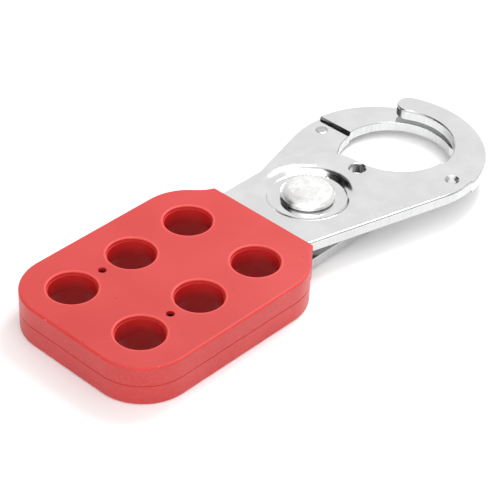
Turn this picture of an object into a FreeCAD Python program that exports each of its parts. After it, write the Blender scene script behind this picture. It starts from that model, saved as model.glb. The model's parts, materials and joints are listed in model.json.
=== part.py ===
import FreeCAD, Part
import math
import os

# Lockout hasp: one steel stamping used twice, the second turned over, joined by a pivot rivet.
# Each tang carries a moulded cover with six padlock holes, and the two jaws close into a ring.
# +X runs along the hasp towards the jaw, +Z is up as it lies flat. The origin is the middle of
# the overall box at its lowest plane. All sizes are in millimetres.

# Handle covers
HANDLE_HALF_WIDTH = 21.2
HANDLE_THICKNESS = 9.3
SEAM_GAP = 0.1
FREE_CORNER_R = 11.2
FLANK_CORNER_R = 12.0
FLARE_R = 7.5
FLARE_TURN = 25.0
LIP_HALF_WIDTH = 14.45
COVER_EDGE_R = 0.5
LIP_EDGE_R = 0.3
SEAM_EDGE_R = 0.12
PIVOT_TO_FREE_END = 70.05
PIVOT_TO_LIP = 14.2

# Padlock holes: three along, two across, with a shallow wider mouth
LOCK_ROWS = 3
LOCK_PITCH_X = 16.35
LOCK_HALF_PITCH_Y = 9.84
PIVOT_TO_FIRST_LOCK = 26.75
LOCK_BORE_R = 5.05
LOCK_MOUTH_R = 5.25
LOCK_MOUTH_DEPTH = 0.8
LOCK_MOUTH_EDGE_R = 0.3
LOCATOR_R = 0.9
PIVOT_TO_LOCATOR = 51.25

# Steel plates
PLATE_THICKNESS = 2.5
OUTER_SKIN = 0.8
TANG_INSET = 2.8
TANG_HOLE_R = 6.4
NECK_HALF_WIDTH = 12.6
PIVOT_TO_NECK_END = 4.25
JAW_R = 22.7
PIVOT_TO_JAW_CENTRE = 25.85
OPENING_R = 13.0
HOOK_TIP_ANGLE = 29
PIVOT_TO_STEP = 29.2
STEP_RAMP = 0.25
STEP_DEPTH = 0.8
OUTER_EDGE_R = 0.4
INNER_EDGE_R = 0.15

# Features pressed into the plates
DISH_FLOOR_R = 8.35
DISH_DEPTH = 1.3
DISH_WALL_ANGLE = 48
DISH_FLOOR_BEND_R = 0.5
PUNCH_MARK_R = 1.65
PUNCH_MARK_FLOOR_R = 0.9
PUNCH_MARK_DEPTH = 0.6
PUNCH_BUMP_R = 1.35
PUNCH_BUMP_TOP_R = 1.1
PUNCH_BUMP_HEIGHT = 0.08
PIVOT_TO_PUNCH = 26.05
PUNCH_Y = -19.0
SMALL_HOLE_R = 1.85
SMALL_HOLE_EDGE = 0.2
PIVOT_TO_SMALL_HOLE = 14.45
SMALL_HOLE_Y = -1.6

# Pivot rivet
SHANK_R = 4.0
SHANK_CLEARANCE = 0.05
HEAD_R = 6.0
HEAD_FOOT_EDGE = 0.25
HEAD_EDGE = 1.0
HEAD_EDGE_BREAK = 0.12
CROWN_R = 4.2
CROWN_EDGE_HEIGHT = 2.55
CROWN_EDGE_R = 0.5
BEVEL_BULGE = 0.08
HEAD_HEIGHT = 3.1
TAIL_R = 5.6
TAIL_EDGE = 1.1

# Levels
MID_Z = HANDLE_THICKNESS / 2
PLATE_TOP = HANDLE_THICKNESS - OUTER_SKIN
PLATE_BOTTOM = PLATE_TOP - PLATE_THICKNESS
COVER_BOTTOM = MID_Z + SEAM_GAP / 2

# Places along X: the overall box is centred on the origin
PIVOT_X = (PIVOT_TO_FREE_END - PIVOT_TO_JAW_CENTRE - JAW_R) / 2
FREE_END_X = PIVOT_X - PIVOT_TO_FREE_END
LIP_X = PIVOT_X - PIVOT_TO_LIP
NECK_END_X = PIVOT_X + PIVOT_TO_NECK_END
JAW_X = PIVOT_X + PIVOT_TO_JAW_CENTRE
OPENING_X = NECK_END_X + NECK_HALF_WIDTH + OPENING_R
STEP_X = PIVOT_X + PIVOT_TO_STEP

UP = FreeCAD.Vector(0, 0, 1)


def point(x, y, z=0.0):
    return FreeCAD.Vector(x, y, z)


def line(start, end):
    return Part.LineSegment(start, end).toShape()


def on_circle(centre, radius, degrees):
    angle = math.radians(degrees)
    return centre + FreeCAD.Vector(radius * math.cos(angle), radius * math.sin(angle), 0)


def arc(centre, radius, start, end):
    """Arc from one angle to another, in degrees, passing through the angle between them."""
    middle = on_circle(centre, radius, (start + end) / 2)
    return Part.Arc(on_circle(centre, radius, start), middle, on_circle(centre, radius, end)).toShape()


def prism(edges, bottom, top):
    """Upright prism over a closed plan outline."""
    face = Part.Face(Part.Wire(Part.__sortEdges__(edges)))
    face.translate(point(0, 0, bottom))
    return face.extrude(point(0, 0, top - bottom))


def cylinder(radius, bottom, top, x, y):
    return Part.makeCylinder(radius, top - bottom, point(x, y, bottom), UP)


def turned(profile, x):
    """Solid turned about the upright axis at x, from points of radius and height."""
    corners = [point(x + radius, 0, height) for radius, height in profile]
    face = Part.Face(Part.makePolygon(corners + corners[:1]))
    return face.revolve(point(x, 0, 0), UP, 360)


def turned_wire(edges, x):
    """Solid turned about the upright axis at x, from edges drawn in the plane of radius and height."""
    face = Part.Face(Part.Wire(Part.__sortEdges__(edges)))
    face.translate(point(x, 0, 0))
    return face.revolve(point(x, 0, 0), UP, 360)


def bend(centre_r, centre_z, bend_r, start, end):
    """Arc in the plane of radius and height, from one angle to another in degrees."""
    ends = []
    for degrees in (start, (start + end) / 2, end):
        angle = math.radians(degrees)
        ends.append(point(centre_r + bend_r * math.cos(angle), 0, centre_z + bend_r * math.sin(angle)))
    return Part.Arc(*ends).toShape()


def rounded(shape, edge_r, circle_r):
    """Round the circular edges of one radius."""
    circles = [edge for edge in shape.Edges if not edge.Degenerated and isinstance(edge.Curve, Part.Circle)]
    return shape.makeFillet(edge_r, [edge for edge in circles if abs(edge.Curve.Radius - circle_r) < 0.01])


def cone(bottom_r, top_r, bottom, top, x, y):
    return Part.makeCone(bottom_r, top_r, top - bottom, point(x, y, bottom), UP)


def mirrored_across_x(edges):
    return [edge.mirror(point(0, 0, 0), point(0, 1, 0)) for edge in edges]


def handle_outline():
    """Plan of a cover: round free corners, and flanks that flare out to a lip at the neck."""
    turn = math.radians(FLARE_TURN)
    flank = math.radians(45)
    flare_run = FLARE_R * (math.sin(flank) - math.sin(flank - turn))
    flare_drop = FLARE_R * (math.cos(flank - turn) - math.cos(flank))
    flare_start = point(LIP_X - flare_run, LIP_HALF_WIDTH + flare_drop)
    flare_centre = flare_start + point(FLARE_R * math.sin(flank), FLARE_R * math.cos(flank))
    corner_y = HANDLE_HALF_WIDTH - FLANK_CORNER_R
    corner_x = flare_start.x + flare_start.y - corner_y - math.sqrt(2) * FLANK_CORNER_R
    flank_corner = point(corner_x, corner_y)
    free_corner = point(FREE_END_X + FREE_CORNER_R, HANDLE_HALF_WIDTH - FREE_CORNER_R)
    half = [
        line(point(FREE_END_X, 0), on_circle(free_corner, FREE_CORNER_R, 180)),
        arc(free_corner, FREE_CORNER_R, 180, 90),
        line(on_circle(free_corner, FREE_CORNER_R, 90), on_circle(flank_corner, FLANK_CORNER_R, 90)),
        arc(flank_corner, FLANK_CORNER_R, 90, 45),
        line(on_circle(flank_corner, FLANK_CORNER_R, 45), flare_start),
        arc(flare_centre, FLARE_R, 225, 225 + FLARE_TURN),
        line(point(LIP_X, LIP_HALF_WIDTH), point(LIP_X, 0)),
    ]
    return half + mirrored_across_x(half)


def head_outline():
    """Plan of the upper plate outside the handle: neck, round end and the hooked jaw."""
    neck_start = LIP_X - 2 * TANG_INSET
    neck_end = point(NECK_END_X, 0)
    opening = point(OPENING_X, 0)
    jaw = point(JAW_X, 0)
    # The rounded tip touches the opening from outside and the jaw's outline from inside.
    offset = OPENING_X - JAW_X
    lean = offset * math.cos(math.radians(HOOK_TIP_ANGLE))
    spare = JAW_R ** 2 - OPENING_R ** 2 - offset ** 2 - 2 * OPENING_R * lean
    tip_r = spare / (2 * (JAW_R + OPENING_R + lean))
    tip = on_circle(opening, OPENING_R + tip_r, HOOK_TIP_ANGLE)
    outer_angle = math.degrees(math.atan2(tip.y, tip.x - JAW_X))
    # The tapered edge runs from the lip, touching the jaw's outline.
    taper_start = point(LIP_X, -NECK_HALF_WIDTH)
    to_centre = jaw - taper_start
    taper = math.degrees(math.atan2(to_centre.y, to_centre.x) - math.asin(JAW_R / to_centre.Length))
    return [
        line(point(neck_start, NECK_HALF_WIDTH), point(NECK_END_X, NECK_HALF_WIDTH)),
        arc(neck_end, NECK_HALF_WIDTH, 90, 0),
        arc(opening, OPENING_R, 180, 360 + HOOK_TIP_ANGLE),
        arc(tip, tip_r, 180 + HOOK_TIP_ANGLE, outer_angle),
        arc(jaw, JAW_R, outer_angle, taper - 90),
        line(on_circle(jaw, JAW_R, taper - 90), taper_start),
        line(taper_start, point(neck_start, -NECK_HALF_WIDTH)),
        line(point(neck_start, -NECK_HALF_WIDTH), point(neck_start, NECK_HALF_WIDTH)),
    ]


def lock_places():
    places = []
    for row in range(LOCK_ROWS):
        for side in (1, -1):
            places.append((PIVOT_X - PIVOT_TO_FIRST_LOCK - row * LOCK_PITCH_X, side * LOCK_HALF_PITCH_Y))
    return places


def locator_places():
    return [(PIVOT_X - PIVOT_TO_LOCATOR, side * LOCK_HALF_PITCH_Y) for side in (1, -1)]


def stepped_sheet():
    """Side profile of the stamping: flat sheet whose jaw end steps down towards the other plate."""
    ramp_start = STEP_X - STEP_RAMP / 2
    ramp_end = STEP_X + STEP_RAMP / 2
    far = 2 * JAW_R + STEP_X
    top = [(-far, 0), (ramp_start, 0), (ramp_end, -STEP_DEPTH), (far, -STEP_DEPTH)]
    corners = [point(x, -far, PLATE_TOP + drop) for x, drop in top]
    corners += [point(x, -far, PLATE_BOTTOM + drop) for x, drop in reversed(top)]
    face = Part.Face(Part.makePolygon(corners + corners[:1]))
    return face.extrude(point(0, 2 * far, 0))


def shear_edges(sheet, side):
    """Edges where an upright wall of the sheet meets its top (side 1) or bottom (side -1), outside the handle."""
    found = []
    for edge in sheet.Edges:
        faces = sheet.ancestorsOfType(edge, Part.Face)
        tilts = sorted(side * face.normalAt(*face.Surface.parameter(edge.CenterOfMass)).z for face in faces)
        if abs(tilts[0]) < 0.01 and tilts[1] > 0.2 and edge.BoundBox.XMax > LIP_X - TANG_INSET:
            found.append(edge)
    return found


def pressed_dish():
    """Round dish pressed towards the other plate: two opposite bends join its floor to the sheet."""
    wall = math.radians(DISH_WALL_ANGLE)
    bends = DISH_DEPTH / (1 - math.cos(wall))
    mouth_bend_r = bends - DISH_FLOOR_BEND_R
    floor_z = PLATE_TOP - DISH_DEPTH
    mouth_r = DISH_FLOOR_R + bends * math.sin(wall)
    bulge = PLATE_THICKNESS * math.tan(wall / 2)
    rim_r = mouth_r + bulge
    start = -90 + DISH_WALL_ANGLE
    floor_bend = bend(DISH_FLOOR_R, floor_z + DISH_FLOOR_BEND_R, DISH_FLOOR_BEND_R, -90, start)
    mouth_bend = bend(mouth_r, PLATE_TOP - mouth_bend_r, mouth_bend_r, start + 180, 90)
    under_z = PLATE_BOTTOM - DISH_DEPTH
    path = [(mouth_r, PLATE_TOP), (rim_r, PLATE_TOP), (rim_r, PLATE_BOTTOM), (DISH_FLOOR_R + bulge, under_z)]
    path += [(0, under_z), (0, floor_z), (DISH_FLOOR_R, floor_z)]
    corners = [point(radius, 0, height) for radius, height in path]
    straight = [line(start_at, end_at) for start_at, end_at in zip(corners, corners[1:])]
    dish = turned_wire(straight + [floor_bend, mouth_bend], PIVOT_X)
    return rounded(dish, DISH_FLOOR_BEND_R, DISH_FLOOR_R + bulge), rim_r


def punched(plate, x, y):
    """Blind punch mark in the outer face, with the low bump that it raises on the inner face."""
    bump_z = PLATE_BOTTOM - PUNCH_BUMP_HEIGHT
    bump = cone(PUNCH_BUMP_TOP_R, PUNCH_BUMP_R, bump_z, PLATE_BOTTOM, x, y)
    mark_z = PLATE_TOP - PUNCH_MARK_DEPTH
    mark = cone(PUNCH_MARK_FLOOR_R, PUNCH_MARK_R, mark_z, PLATE_TOP, x, y)
    return plate.fuse(bump).cut(mark)


def upper_plate():
    tang_face = Part.Face(Part.Wire(Part.__sortEdges__(handle_outline()))).makeOffset2D(-TANG_INSET)
    tang_face.translate(point(0, 0, PLATE_BOTTOM))
    tang = tang_face.extrude(point(0, 0, PLATE_THICKNESS))
    head = prism(head_outline(), 0, HANDLE_THICKNESS).common(stepped_sheet())
    head = head.makeFillet(OUTER_EDGE_R, shear_edges(head, 1))
    head = head.makeFillet(INNER_EDGE_R, shear_edges(head, -1))
    plate = head.fuse(tang)
    dish, rim_r = pressed_dish()
    plate = plate.cut(cylinder(rim_r, 0, HANDLE_THICKNESS, PIVOT_X, 0)).fuse(dish)
    plate = punched(plate, PIVOT_X + PIVOT_TO_PUNCH, PUNCH_Y)
    plate = plate.cut(cylinder(SHANK_R + SHANK_CLEARANCE, 0, HANDLE_THICKNESS, PIVOT_X, 0))
    small_hole_x = PIVOT_X + PIVOT_TO_SMALL_HOLE
    plate = plate.cut(cylinder(SMALL_HOLE_R, 0, HANDLE_THICKNESS, small_hole_x, SMALL_HOLE_Y))
    edge_z = PLATE_TOP - SMALL_HOLE_EDGE
    edge_r = SMALL_HOLE_R + SMALL_HOLE_EDGE
    plate = plate.cut(cone(SMALL_HOLE_R, edge_r, edge_z, PLATE_TOP, small_hole_x, SMALL_HOLE_Y))
    for x, y in lock_places():
        plate = plate.cut(cylinder(TANG_HOLE_R, 0, HANDLE_THICKNESS, x, y))
    for x, y in locator_places():
        plate = plate.cut(cylinder(LOCATOR_R, 0, HANDLE_THICKNESS, x, y))
    return plate.removeSplitter()


def upper_cover(plate):
    cover = prism(handle_outline(), COVER_BOTTOM, HANDLE_THICKNESS)
    top_edges = [edge for edge in cover.Edges if edge.BoundBox.ZMin > HANDLE_THICKNESS - 0.01]
    cover = cover.makeFillet(COVER_EDGE_R, [edge for edge in top_edges if edge.BoundBox.XMin < LIP_X - 0.01])
    top_edges = [edge for edge in cover.Edges if edge.BoundBox.ZMin > HANDLE_THICKNESS - 0.01]
    cover = cover.makeFillet(LIP_EDGE_R, [edge for edge in top_edges if edge.BoundBox.XMin > LIP_X - 0.01])
    seam_edges = [edge for edge in cover.Edges if edge.BoundBox.ZMax < COVER_BOTTOM + 0.01]
    cover = cover.makeFillet(SEAM_EDGE_R, seam_edges)
    cover = cover.cut(plate)
    for x, y in lock_places():
        cover = cover.cut(lock_hole(x, y))
    for x, y in locator_places():
        cover = cover.cut(cylinder(LOCATOR_R, 0, HANDLE_THICKNESS, x, y))
    return cover


def lock_hole(x, y):
    """Tool that cuts one padlock hole: a bore and a stepped mouth with a soft edge."""
    mouth_floor = HANDLE_THICKNESS - LOCK_MOUTH_DEPTH
    soft_r = LOCK_MOUTH_R + LOCK_MOUTH_EDGE_R
    soft_z = HANDLE_THICKNESS - LOCK_MOUTH_EDGE_R
    bore = cylinder(LOCK_BORE_R, 0, mouth_floor, x, y)
    mouth = cylinder(LOCK_MOUTH_R, mouth_floor, HANDLE_THICKNESS, x, y)
    flare = cylinder(soft_r, soft_z, HANDLE_THICKNESS, x, y)
    ring = Part.makeTorus(soft_r, LOCK_MOUTH_EDGE_R, point(x, y, soft_z), UP)
    return bore.fuse([mouth, flare.cut(ring)])


def turned_over(shape):
    """The same piece turned over about the hasp's long axis, for the lower half."""
    copy = shape.copy()
    copy.rotate(point(0, 0, MID_Z), point(1, 0, 0), 180)
    return copy


def dome(base_r, edge_z, crown_z):
    """Half of a flattened ball, on the pivot axis, with its widest section at edge_z."""
    ball = Part.makeSphere(base_r, point(0, 0, 0))
    squeeze = FreeCAD.Matrix()
    squeeze.scale(1, 1, (crown_z - edge_z) / base_r)
    ball = ball.transformGeometry(squeeze)
    ball.translate(point(PIVOT_X, 0, edge_z))
    lower, upper = sorted((edge_z, edge_z + 2 * (crown_z - edge_z)))
    return ball.common(cylinder(2 * base_r, lower, upper, PIVOT_X, 0))


def rivet_head(seat):
    """Head with a low upright rim, a steep bevel and a wide, gently domed crown."""
    foot = point(HEAD_R - HEAD_FOOT_EDGE, 0, seat)
    rim_foot = point(HEAD_R, 0, seat + HEAD_FOOT_EDGE)
    rim_top = point(HEAD_R, 0, seat + HEAD_EDGE)
    bevel_foot = point(HEAD_R - HEAD_EDGE_BREAK, 0, seat + HEAD_EDGE + HEAD_EDGE_BREAK)
    crown_edge = point(CROWN_R, 0, seat + CROWN_EDGE_HEIGHT)
    run = crown_edge - bevel_foot
    outward = point(run.z, 0, -run.x).normalize()
    bevel_middle = (bevel_foot + crown_edge) * 0.5 + outward * BEVEL_BULGE
    rise = HEAD_HEIGHT - CROWN_EDGE_HEIGHT
    crown_ball_r = (CROWN_R ** 2 + rise ** 2) / (2 * rise)
    edge_angle = math.degrees(math.asin(CROWN_R / crown_ball_r))
    head = turned_wire([
        line(point(0, 0, seat), foot),
        line(foot, rim_foot),
        line(rim_foot, rim_top),
        line(rim_top, bevel_foot),
        Part.Arc(bevel_foot, bevel_middle, crown_edge).toShape(),
        bend(0, seat + HEAD_HEIGHT - crown_ball_r, crown_ball_r, 90 - edge_angle, 90),
        line(point(0, 0, seat + HEAD_HEIGHT), point(0, 0, seat)),
    ], PIVOT_X)
    return rounded(head, CROWN_EDGE_R, CROWN_R)


def pivot_rivet():
    seat_top = PLATE_TOP - DISH_DEPTH + SHANK_CLEARANCE
    seat_bottom = HANDLE_THICKNESS - PLATE_TOP + DISH_DEPTH
    shank = cylinder(SHANK_R, seat_bottom, seat_top, PIVOT_X, 0)
    head = rivet_head(seat_top)
    tail_edge = cylinder(TAIL_R, seat_bottom - TAIL_EDGE, seat_bottom, PIVOT_X, 0)
    tail_dome = dome(TAIL_R, seat_bottom - TAIL_EDGE, 0)
    return shank.fuse([head, tail_edge, tail_dome]).removeSplitter()


def lower_plate(upper):
    """The upper stamping turned over, its pivot hole filled tight to the shank."""
    plate = turned_over(upper)
    floor = HANDLE_THICKNESS - PLATE_TOP + DISH_DEPTH
    sleeve = cylinder(SHANK_R + SHANK_CLEARANCE, floor, floor + PLATE_THICKNESS, PIVOT_X, 0)
    bore = cylinder(SHANK_R, 0, HANDLE_THICKNESS, PIVOT_X, 0)
    return plate.fuse(sleeve).cut(bore).removeSplitter()


def build():
    plate = upper_plate()
    cover = upper_cover(plate)
    return {
        "upper_jaw_plate": plate,
        "lower_jaw_plate": lower_plate(plate),
        "upper_handle_cover": cover,
        "lower_handle_cover": turned_over(cover),
        "pivot_rivet": pivot_rivet(),
    }


os.makedirs("parts", exist_ok=True)
for name, shape in build().items():
    shape.exportStep("parts/" + name + ".step")
    box = shape.optimalBoundingBox(False)
    print(name, "solids", len(shape.Solids), "valid", shape.isValid(), "volume", round(shape.Volume, 1),
          "x", round(box.XMin, 3), round(box.XMax, 3), "y", round(box.YMin, 3), round(box.YMax, 3),
          "z", round(box.ZMin, 3), round(box.ZMax, 3))
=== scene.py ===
import json
import math

import bpy
from mathutils import Matrix, Vector


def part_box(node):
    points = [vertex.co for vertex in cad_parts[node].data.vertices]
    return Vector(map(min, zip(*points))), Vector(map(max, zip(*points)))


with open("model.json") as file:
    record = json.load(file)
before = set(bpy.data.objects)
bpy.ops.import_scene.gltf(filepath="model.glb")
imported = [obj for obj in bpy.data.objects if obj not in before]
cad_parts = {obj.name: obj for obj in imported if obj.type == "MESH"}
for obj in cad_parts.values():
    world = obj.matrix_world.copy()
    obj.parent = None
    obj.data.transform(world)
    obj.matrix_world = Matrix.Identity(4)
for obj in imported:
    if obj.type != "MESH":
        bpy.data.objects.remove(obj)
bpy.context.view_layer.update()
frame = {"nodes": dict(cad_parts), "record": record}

# Looks for a lockout hasp: red moulded covers, bright plated jaws and a domed pivot rivet.
# Every length is in metres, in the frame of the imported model.
MM = 0.001

# Camera
CAMERA_AT = Vector((-249.65, -221.79, 250.92)) * MM
CAMERA_AIM = Vector((-14.13, -6.44, 9.3)) * MM
CAMERA_ROLL = math.radians(1.999)
CAMERA_LENS = 139.56
SENSOR = 36.0

# Studio: light by direction, in the frame of the model. Each patch is a direction, the angles
# in degrees where it is whole and where it ends, and how much light it adds or the share it takes.
SKY = 0.93
BACKDROP = 1.0
BRIGHT = [
    ((-0.28, -0.34, 0.90), 18, 44, 1.05),
    ((-0.62, -0.60, 0.50), 10, 26, 0.35),
]
DARK = [
    ((-0.46, 0.52, 0.70), 13, 20, 0.95),
    ((-0.22, 0.74, 0.60), 11, 18, 0.95),
    ((0.04, 0.80, 0.58), 8, 15, 0.92),
    ((-0.35, 0.82, 0.25), 18, 30, 0.15),
    ((-0.83, 0.53, 0.15), 12, 22, 0.90),
    ((-0.72, 0.48, 0.45), 8, 15, 0.60),
    ((-0.12, 0.46, 0.88), 9, 16, 0.90),
    ((0.05, 0.62, 0.78), 8, 15, 0.85),
    ((-0.05, -1.0, 0.0), 24, 50, 0.46),
    ((0.03, 0.03, 1.0), 8, 17, 0.48),
]

# Lamp and floor
LAMP_AT = Vector((0.11, 0.02, 0.20))
LAMP_SIZE = 0.09
LAMP_POWER = 0.28
FLOOR_SIZE = 3.0
FLOOR_DROP = 0.00005
FLOOR_GLOW = 0.11
FLOOR_GRAIN = 0.02
FLOOR_ROUGH = 0.7
FLOOR_DULL = (0.91, 0.91, 0.91, 1)
FLOOR_PALE = (0.93, 0.93, 0.93, 1)

# Colours of the plastic
RED = (0.580, 0.056, 0.053, 1)
RED_DEEP = (0.545, 0.048, 0.045, 1)
RED_GRIT = (0.66, 0.13, 0.13, 1)
RED_RING_HIGHLIGHT = (0.85, 0.11, 0.10, 1)
RED_EDGE_HIGHLIGHT = (0.74, 0.048, 0.044, 1)
RED_BORE_SHADE_TOP = (0.62, 0.016, 0.015, 1)
RED_BORE_SHADE_DEEP = (0.33, 0.003, 0.004, 1)
RED_FLASH = (0.95, 0.16, 0.14, 1)
RED_SPECK = (0.30, 0.015, 0.016, 1)
RED_LINE = (0.70, 0.10, 0.10, 1)

# Colours of the steel
STEEL = (0.77, 0.775, 0.77, 1)
STEEL_PALE = (0.83, 0.835, 0.83, 1)
STEEL_DULL_AND_SHADE = (0.45, 0.45, 0.46, 1)
STEEL_SHADE = (0.09, 0.09, 0.09, 1)
CROWN_DULL = (0.745, 0.745, 0.74, 1)
CROWN_PALE = (0.82, 0.82, 0.81, 1)
BEVEL_PALE = (0.87, 0.87, 0.865, 1)

# Where the looks change: from the outline to the bores, their mouths, the step in the jaws,
# the punch marks, the dish and the foot of the rivet's head, and over how much they blend
BORE_INSET = 0.004
BORE_BLUR = 0.0005
BORE_MOUTH = 0.0008
MOUTH_R = 0.0053
MOUTH_EDGE = 0.0004
STEP_FROM_TIP = 0.01935
STEP_REACH = 0.0009
PUNCH_FROM_TIP = 0.0225
PUNCH_FROM_SIDE = 0.0037
PUNCH_R = 0.0016
DISH_REACH = 0.0115
RIM_TOP = 0.0029
SEAT_DROP = 0.0031
FOOT_BLUR = 0.0002
FINE_BLUR = 0.0001

# Sizes and depths of the marks on the plastic, its gloss and how far light goes in
PLASTIC_CLOUD = 0.012
PLASTIC_FLASH = 0.0011
PLASTIC_GRIT = 0.0007
PLASTIC_SPECK = 0.0009
PLASTIC_LINE = (0.02, 0.0004)
PLASTIC_WAVE = 0.007
PLASTIC_WAVE_DEPTH = 0.00006
PLASTIC_FINE = 0.00025
PLASTIC_FINE_DEPTH = 0.00001
PLASTIC_PATCH = 0.009
PLASTIC_ROUGH = (0.32, 0.42)
PLASTIC_IOR = 1.36
PLASTIC_SOFTNESS = 0.08
PLASTIC_REACH = 0.0008

# Sizes and depths of the marks on the plates, and their gloss
PLATE_CLOUD = 0.006
PLATE_GRAIN = 0.0012
PLATE_GRAIN_DEPTH = 0.00001
PLATE_SHEAR = 0.0004
PLATE_SHEAR_DEPTH = 0.000006
PLATE_SHEAR_STRETCH = (1, 1, 0.06)
PLATE_LINE = (0.015, 0.0003)
PLATE_CROSS_LINE = (0.010, 0.00025)
PLATE_LINE_DEPTH = 0.000004
PLATE_WAVE = 0.005
PLATE_WAVE_DEPTH = 0.00003
PLATE_ROUGH = (0.08, 0.16)
SIDE_ROUGHER = 0.10
PUNCH_ROUGHER = 0.22
PLATE_MOTTLE = 0.12

# Sizes and depths of the marks on the rivet, and its gloss
RIVET_CLOUD = 0.0022
RIVET_CLOUD_DEPTH = 0.00005
RIVET_GRAIN = 0.0007
RIVET_GRAIN_DEPTH = 0.000015
RIVET_DENT = 0.0009
RIVET_DENT_DEPTH = 0.00002
RIVET_PIT = 0.0011
BEVEL_ROUGH = 0.14
CROWN_ROUGH = 0.82


class Nodes:
    """Short ways to add and join shader nodes in one tree."""

    def __init__(self, tree):
        self.tree = tree
        tree.nodes.clear()

    def add(self, kind, inputs=None, **settings):
        node = self.tree.nodes.new(kind)
        for name, value in settings.items():
            setattr(node, name, value)
        for name, value in (inputs or {}).items():
            self.feed(node.inputs[name], value)
        return node

    def feed(self, socket, value):
        if isinstance(value, bpy.types.NodeSocket):
            self.tree.links.new(value, socket)
        else:
            socket.default_value = value

    def maths(self, operation, *values):
        node = self.tree.nodes.new("ShaderNodeMath")
        node.operation = operation
        for socket, value in zip(node.inputs, values):
            self.feed(socket, value)
        return node.outputs[0]

    def step(self, value, low, high, out_low=0.0, out_high=1.0):
        """Smooth change from out_low to out_high as value goes from low to high."""
        inputs = {0: value, 1: low, 2: high, 3: out_low, 4: out_high}
        return self.add("ShaderNodeMapRange", inputs, interpolation_type="SMOOTHSTEP").outputs[0]

    def noise(self, place, size, detail=2.0, roughness=0.5):
        """Noise from 0 to 1 whose features are about size metres across."""
        inputs = {"Vector": place, "Scale": 1 / size, "Detail": detail, "Roughness": roughness}
        return self.add("ShaderNodeTexNoise", inputs).outputs[0]

    def mix(self, factor, first, second):
        node = self.add("ShaderNodeMix", data_type="RGBA")
        self.feed(node.inputs[0], factor)
        self.feed(node.inputs[6], first)
        self.feed(node.inputs[7], second)
        return node.outputs[2]

    def bump(self, height, distance, strength=1.0, normal=None):
        inputs = {"Height": height, "Distance": distance, "Strength": strength}
        if normal is not None:
            inputs["Normal"] = normal
        return self.add("ShaderNodeBump", inputs).outputs[0]


def lobe(nodes, direction, towards, inner, outer, amount):
    """Soft round patch of the sky: amount inside the inner angle, nothing beyond the outer one."""
    unit = tuple(Vector(towards).normalized())
    dot = nodes.add("ShaderNodeVectorMath", {0: direction, 1: unit}, operation="DOT_PRODUCT")
    edge, core = math.cos(math.radians(outer)), math.cos(math.radians(inner))
    return nodes.step(dot.outputs["Value"], edge, core, 0.0, amount)


def studio():
    world = bpy.data.worlds.new("studio")
    bpy.context.scene.world = world
    world.use_nodes = True
    nodes = Nodes(world.node_tree)
    direction = nodes.add("ShaderNodeTexCoord").outputs["Generated"]
    light = SKY
    for patch in BRIGHT:
        light = nodes.maths("ADD", light, lobe(nodes, direction, *patch))
    for patch in DARK:
        share = nodes.maths("SUBTRACT", 1.0, lobe(nodes, direction, *patch))
        light = nodes.maths("MULTIPLY", light, share)
    seen = nodes.add("ShaderNodeLightPath").outputs["Is Camera Ray"]
    lit = nodes.add("ShaderNodeBackground", {"Color": (1, 1, 1, 1), "Strength": light})
    plain = nodes.add("ShaderNodeBackground", {"Color": (1, 1, 1, 1), "Strength": BACKDROP})
    both = nodes.add("ShaderNodeMixShader", {0: seen, 1: lit.outputs[0], 2: plain.outputs[0]})
    nodes.add("ShaderNodeOutputWorld", {"Surface": both.outputs[0]})
    bpy.context.scene.view_settings.view_transform = "Standard"


def lamp():
    """Near soft box on the jaw's side, which lifts that end a little."""
    data = bpy.data.lights.new("lamp", "AREA")
    data.size = LAMP_SIZE
    data.energy = LAMP_POWER
    made = bpy.data.objects.new("lamp", data)
    made.visible_camera = False
    bpy.context.scene.collection.objects.link(made)
    turn = (-LAMP_AT).to_track_quat("-Z", "Y").to_matrix()
    made.matrix_world = Matrix.Translation(LAMP_AT) @ turn.to_4x4()


def camera():
    data = bpy.data.cameras.new("camera")
    data.lens = CAMERA_LENS
    data.sensor_width = SENSOR
    data.clip_start = 0.01
    data.clip_end = 10
    shot = bpy.data.objects.new("camera", data)
    bpy.context.scene.collection.objects.link(shot)
    aim = (CAMERA_AIM - CAMERA_AT).to_track_quat("-Z", "Y").to_matrix()
    turn = aim @ Matrix.Rotation(CAMERA_ROLL, 3, "Z")
    shot.matrix_world = Matrix.Translation(CAMERA_AT) @ turn.to_4x4()
    bpy.context.scene.camera = shot


def material(name):
    made = bpy.data.materials.new(name)
    made.use_nodes = True
    return made, Nodes(made.node_tree)


def show(nodes, inputs):
    """Ends a material with one principled surface."""
    shader = nodes.add("ShaderNodeBsdfPrincipled", inputs)
    nodes.add("ShaderNodeOutputMaterial", {"Surface": shader.outputs[0]})


def floor_material():
    made, nodes = material("pale_floor")
    place = nodes.add("ShaderNodeTexCoord").outputs["Object"]
    grain = nodes.noise(place, FLOOR_GRAIN, 4.0)
    colour = nodes.mix(grain, FLOOR_DULL, FLOOR_PALE)
    show(nodes, {
        "Base Color": colour,
        "Roughness": FLOOR_ROUGH,
        "Emission Color": (1, 1, 1, 1),
        "Emission Strength": FLOOR_GLOW,
    })
    return made


def floor():
    half = FLOOR_SIZE / 2
    mesh = bpy.data.meshes.new("floor")
    corners = [(-half, -half, -FLOOR_DROP), (half, -half, -FLOOR_DROP)]
    corners += [(half, half, -FLOOR_DROP), (-half, half, -FLOOR_DROP)]
    mesh.from_pydata(corners, [], [(0, 1, 2, 3)])
    made = bpy.data.objects.new("floor", mesh)
    bpy.context.scene.collection.objects.link(made)
    mesh.materials.append(floor_material())


def stretched(nodes, place, scale):
    """Coordinates stretched along the axes, so that noise turns into streaks."""
    return nodes.add("ShaderNodeVectorMath", {0: place, 1: scale}, operation="MULTIPLY").outputs[0]


def from_axis(nodes, place, x, y):
    """Distance from the upright axis through x and y."""
    flat = stretched(nodes, place, (1, 1, 0))
    inputs = {0: flat, 1: (x, y, 0)}
    return nodes.add("ShaderNodeVectorMath", inputs, operation="DISTANCE").outputs["Value"]


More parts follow.
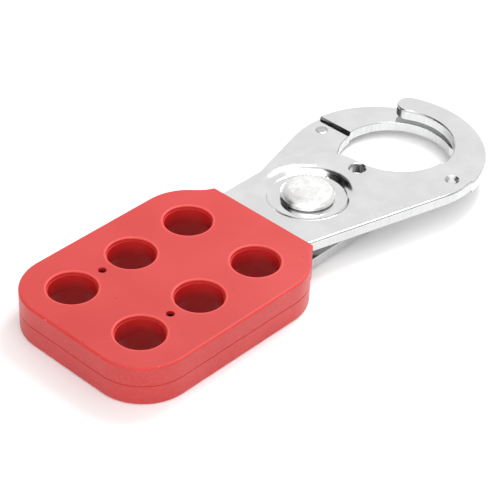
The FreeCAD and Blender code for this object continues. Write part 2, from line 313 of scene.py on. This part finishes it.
def axes(nodes, vector):
    """The three parts of a vector, by name."""
    return nodes.add("ShaderNodeSeparateXYZ", {0: vector}).outputs


def surface(nodes):
    """Where a point is, which way its face looks, and how far that is upwards."""
    place = nodes.add("ShaderNodeTexCoord").outputs["Object"]
    facing = nodes.add("ShaderNodeNewGeometry").outputs["True Normal"]
    return place, facing, axes(nodes, facing)["Z"]


def turned(nodes, place, degrees):
    """Coordinates turned about the upright axis."""
    inputs = {"Vector": place, "Axis": (0, 0, 1), "Angle": math.radians(degrees)}
    return nodes.add("ShaderNodeVectorRotate", inputs).outputs[0]


def scratches(nodes, place, degrees, size, low):
    """Sparse straight hairlines, size being their length and width: 1 on a line, 0 elsewhere."""
    length, width = size
    along = stretched(nodes, turned(nodes, place, degrees), (width / length, 1, 1))
    return nodes.step(nodes.noise(along, width, 1.0), low, low + 0.06)


def tint(nodes, colour, new, mask, share=1.0):
    """The colour, with a share of the new one laid over it where the mask is 1."""
    return nodes.mix(nodes.maths("MULTIPLY", mask, share), colour, new)


def inside(nodes, value, low, high, blur):
    """1 while value lies between low and high, falling to 0 over the blur beyond each."""
    rise = nodes.step(value, low - blur, low)
    fall = nodes.step(value, high, high + blur, 1.0, 0.0)
    return nodes.maths("MULTIPLY", rise, fall)


def bore_walls(nodes, place, upright):
    """Upright walls away from the outline, which are those of the holes, and how deep they are."""
    low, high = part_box("upper_handle_cover")
    parts = axes(nodes, place)
    across = inside(nodes, parts["Y"], low.y + BORE_INSET, high.y - BORE_INSET, BORE_BLUR)
    along = inside(nodes, parts["X"], low.x + BORE_INSET, high.x - BORE_INSET, BORE_BLUR)
    wall = nodes.step(nodes.maths("ABSOLUTE", upright), 0.1, 0.5, 1.0, 0.0)
    depth = nodes.step(parts["Z"], low.z, high.z - BORE_MOUTH, 1.0, 0.0)
    return nodes.maths("MULTIPLY", wall, nodes.maths("MULTIPLY", across, along)), depth


def mouth_ring_highlights(nodes, place):
    """1 on the curved mouths of the lock holes, where a painted highlight is laid."""
    nearest = 1.0
    for mount in frame["record"]["mounts"]:
        if mount["name"].startswith("lock_hole"):
            away = from_axis(nodes, place, mount["pos_m"][0], mount["pos_m"][1])
            nearest = nodes.maths("MINIMUM", nearest, away)
    return inside(nodes, nearest, MOUTH_R, MOUTH_R + MOUTH_EDGE, FINE_BLUR)


def red_plastic():
    made, nodes = material("red_plastic")
    place, _, upright = surface(nodes)
    cloud = nodes.noise(place, PLASTIC_CLOUD, 3.0)
    colour = nodes.mix(nodes.step(cloud, 0.3, 0.7), RED_DEEP, RED)
    bore, depth = bore_walls(nodes, place, upright)
    # Painted shade: the walls of the lock holes darken from the mouth down to the bottom of the
    # bore.
    colour = nodes.mix(bore, colour, nodes.mix(depth, RED_BORE_SHADE_TOP, RED_BORE_SHADE_DEEP))
    edge = inside(nodes, upright, 0.45, 0.85, 0.12)
    # Painted highlight: the curved top edges are tinted brighter and redder. The flash further down
    # sits on the same edges.
    colour = tint(nodes, colour, RED_EDGE_HIGHLIGHT, edge, 0.8)
    # Painted highlight: a lighter, redder ring round the mouths of the lock holes.
    colour = tint(nodes, colour, RED_RING_HIGHLIGHT, mouth_ring_highlights(nodes, place), 0.55)
    flash = nodes.step(nodes.noise(place, PLASTIC_FLASH, 2.0), 0.66, 0.72)
    colour = tint(nodes, colour, RED_FLASH, edge, flash)
    side = nodes.step(nodes.maths("ABSOLUTE", upright), 0.1, 0.3, 1.0, 0.0)
    side = nodes.maths("MULTIPLY", side, nodes.maths("SUBTRACT", 1.0, bore))
    grit = nodes.step(nodes.noise(place, PLASTIC_GRIT, 3.0, 0.7), 0.42, 0.68, 0.0, 0.22)
    colour = tint(nodes, colour, RED_GRIT, side, grit)
    specks = nodes.step(nodes.noise(place, PLASTIC_SPECK, 1.0), 0.76, 0.80, 0.0, 0.5)
    colour = nodes.mix(specks, colour, RED_SPECK)
    colour = tint(nodes, colour, RED_LINE, scratches(nodes, place, 24, PLASTIC_LINE, 0.74), 0.25)
    normal = nodes.bump(nodes.noise(place, PLASTIC_WAVE, 2.0), PLASTIC_WAVE_DEPTH, 0.5)
    normal = nodes.bump(nodes.noise(place, PLASTIC_FINE, 2.0, 0.6), PLASTIC_FINE_DEPTH, 0.35, normal)
    show(nodes, {
        "Base Color": colour,
        "Roughness": nodes.step(nodes.noise(place, PLASTIC_PATCH, 3.0), 0.25, 0.75, *PLASTIC_ROUGH),
        "Normal": normal,
        "IOR": PLASTIC_IOR,
        "Subsurface Weight": PLASTIC_SOFTNESS,
        "Subsurface Scale": PLASTIC_REACH,
    })
    return made


def punch_disc(nodes, place):
    """1 on the small punched discs, one on each side of the jaws; they are rougher and carry painted
    shade.
    """
    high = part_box("lower_jaw_plate")[1]
    mirrored = nodes.add("ShaderNodeVectorMath", {0: place}, operation="ABSOLUTE").outputs[0]
    away = from_axis(nodes, mirrored, high.x - PUNCH_FROM_TIP, high.y - PUNCH_FROM_SIDE)
    return nodes.step(away, PUNCH_R * 0.85, PUNCH_R * 1.05, 1.0, 0.0)


def outside_dish(nodes, place):
    """0 on the pressed dish round the pivot, 1 beyond it."""
    low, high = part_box("pivot_rivet")
    away = from_axis(nodes, place, (low.x + high.x) / 2, (low.y + high.y) / 2)
    return nodes.step(away, DISH_REACH, DISH_REACH + 0.001)


def step_ramp_shade(nodes, place, facing):
    """1 on the short ramp where each jaw steps down, which gets painted shade.

    Faces are read in the world's axes, so a half turned far from rest loses this mark.
    """
    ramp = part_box("upper_jaw_plate")[1].x - STEP_FROM_TIP
    along = axes(nodes, place)["X"]
    near = inside(nodes, along, ramp - STEP_REACH, ramp + STEP_REACH, FINE_BLUR)
    turn = axes(nodes, facing)
    slope = inside(nodes, nodes.maths("ABSOLUTE", turn["Z"]), 0.25, 0.84, 0.05)
    straight = nodes.step(nodes.maths("ABSOLUTE", turn["Y"]), 0.10, 0.25, 1.0, 0.0)
    return nodes.maths("MULTIPLY", near, nodes.maths("MULTIPLY", slope, straight))


def shorn_sides(nodes, place, upright):
    """1 on the upright edges of the plates, and the streaks that the shears leave there."""
    side = nodes.step(nodes.maths("ABSOLUTE", upright), 0.03, 0.15, 1.0, 0.0)
    return side, nodes.noise(stretched(nodes, place, PLATE_SHEAR_STRETCH), PLATE_SHEAR, 2.0, 0.7)


def plate_colour(nodes, place, facing, upright):
    """Bright plating. The upright edges are duller, partly from the shear's own streaks and partly
    as painted shade. The underside and the punched discs carry painted shade.
    """
    cloud = nodes.step(nodes.noise(place, PLATE_CLOUD, 3.0), 0.3, 0.7)
    side, shear = shorn_sides(nodes, place, upright)
    underside_shade = nodes.step(upright, -0.9, -0.6, 0.8, 0.0)
    # Partly painted shade: the upright edges darken along the shear streaks. The underside and the
    # punched discs are darkened as painted shade.
    wear_and_shade = nodes.maths("MULTIPLY", side, nodes.step(shear, 0.45, 0.8, 0.50, 0.85))
    wear_and_shade = nodes.maths("MAXIMUM", wear_and_shade, underside_shade)
    wear_and_shade = nodes.maths("MAXIMUM", wear_and_shade, nodes.maths("MULTIPLY", punch_disc(nodes, place), 0.85))
    # Painted shade: the curved edges of the plates, away from the dish, are darkened.
    shaded_rounds = inside(nodes, upright, 0.25, 0.93, 0.05)
    shaded_rounds = nodes.maths("MULTIPLY", shaded_rounds, outside_dish(nodes, place))
    colour = nodes.mix(wear_and_shade, nodes.mix(cloud, STEEL, STEEL_PALE), STEEL_DULL_AND_SHADE)
    colour = tint(nodes, colour, STEEL_DULL_AND_SHADE, shaded_rounds, 0.5)
    # Painted shade: the step ramp is darkened almost to black.
    return tint(nodes, colour, STEEL_SHADE, step_ramp_shade(nodes, place, facing), 0.85)


def plated_steel():
    made, nodes = material("plated_steel")
    place, facing, upright = surface(nodes)
    side, shear = shorn_sides(nodes, place, upright)
    grain = nodes.noise(place, PLATE_GRAIN, 3.0, 0.6)
    lines = scratches(nodes, place, -31, PLATE_LINE, 0.72)
    lines = nodes.maths("MAXIMUM", lines, scratches(nodes, place, 58, PLATE_CROSS_LINE, 0.74))
    rough = nodes.step(grain, 0.25, 0.75, *PLATE_ROUGH)
    rough = nodes.maths("ADD", rough, nodes.maths("MULTIPLY", side, SIDE_ROUGHER))
    punched = nodes.maths("MULTIPLY", punch_disc(nodes, place), PUNCH_ROUGHER)
    normal = nodes.bump(nodes.noise(place, PLATE_WAVE, 2.0), PLATE_WAVE_DEPTH, 0.4)
    normal = nodes.bump(grain, PLATE_GRAIN_DEPTH, PLATE_MOTTLE, normal)
    normal = nodes.bump(lines, PLATE_LINE_DEPTH, -0.4, normal)
    sheared = nodes.maths("MULTIPLY", side, shear)
    normal = nodes.bump(sheared, PLATE_SHEAR_DEPTH, 0.5, normal)
    show(nodes, {
        "Base Color": plate_colour(nodes, place, facing, upright),
        "Metallic": 1.0,
        "Roughness": nodes.maths("ADD", rough, punched),
        "Normal": normal,
    })
    return made


def rivet_steel():
    """Hammered satin crown; the bevel and the rim stay glossier."""
    made, nodes = material("rivet_steel")
    place, _, upright = surface(nodes)
    head_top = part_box("pivot_rivet")[1].z
    crown = nodes.step(upright, 0.60, 0.85)
    cloud = nodes.noise(place, RIVET_CLOUD, 3.0)
    grain = nodes.noise(place, RIVET_GRAIN, 3.0, 0.6)
    dents = nodes.step(nodes.noise(place, RIVET_DENT, 3.0, 0.65), 0.40, 0.62)
    pits = nodes.step(nodes.noise(place, RIVET_PIT, 2.0), 0.70, 0.78, 0.0, 0.5)
    height = axes(nodes, place)["Z"]
    foot = inside(nodes, height, head_top - SEAT_DROP, head_top - RIM_TOP, FOOT_BLUR)
    colour = nodes.mix(nodes.step(cloud, 0.3, 0.7), CROWN_DULL, CROWN_PALE)
    colour = nodes.mix(crown, BEVEL_PALE, colour)
    colour = tint(nodes, colour, STEEL_DULL_AND_SHADE, dents, 0.16)
    # Painted shade: a dark band in the groove at the foot of the head.
    colour = tint(nodes, colour, STEEL_SHADE, foot, 0.8)
    colour = tint(nodes, colour, STEEL_DULL_AND_SHADE, pits, nodes.step(crown, 0.2, 0.8, 1.0, 0.5))
    rough = nodes.step(crown, 0.0, 1.0, BEVEL_ROUGH, CROWN_ROUGH)
    rough = nodes.maths("ADD", rough, nodes.step(grain, 0.3, 0.7, 0.0, 0.08))
    normal = nodes.bump(cloud, RIVET_CLOUD_DEPTH, 0.5)
    normal = nodes.bump(grain, RIVET_GRAIN_DEPTH, 0.6, normal)
    hammered = nodes.maths("MULTIPLY", dents, crown)
    normal = nodes.bump(hammered, RIVET_DENT_DEPTH, 0.6, normal)
    show(nodes, {"Base Color": colour, "Metallic": 1.0, "Roughness": rough, "Normal": normal})
    return made


def finish_node(name, made):
    node = frame["nodes"][name]
    node.data.materials.clear()
    node.data.materials.append(made)


camera()
studio()
lamp()
floor()
plastic = red_plastic()
plate = plated_steel()
rivet = rivet_steel()
finish_node("upper_handle_cover", plastic)
finish_node("lower_handle_cover", plastic)
finish_node("upper_jaw_plate", plate)
finish_node("lower_jaw_plate", plate)
finish_node("pivot_rivet", rivet)
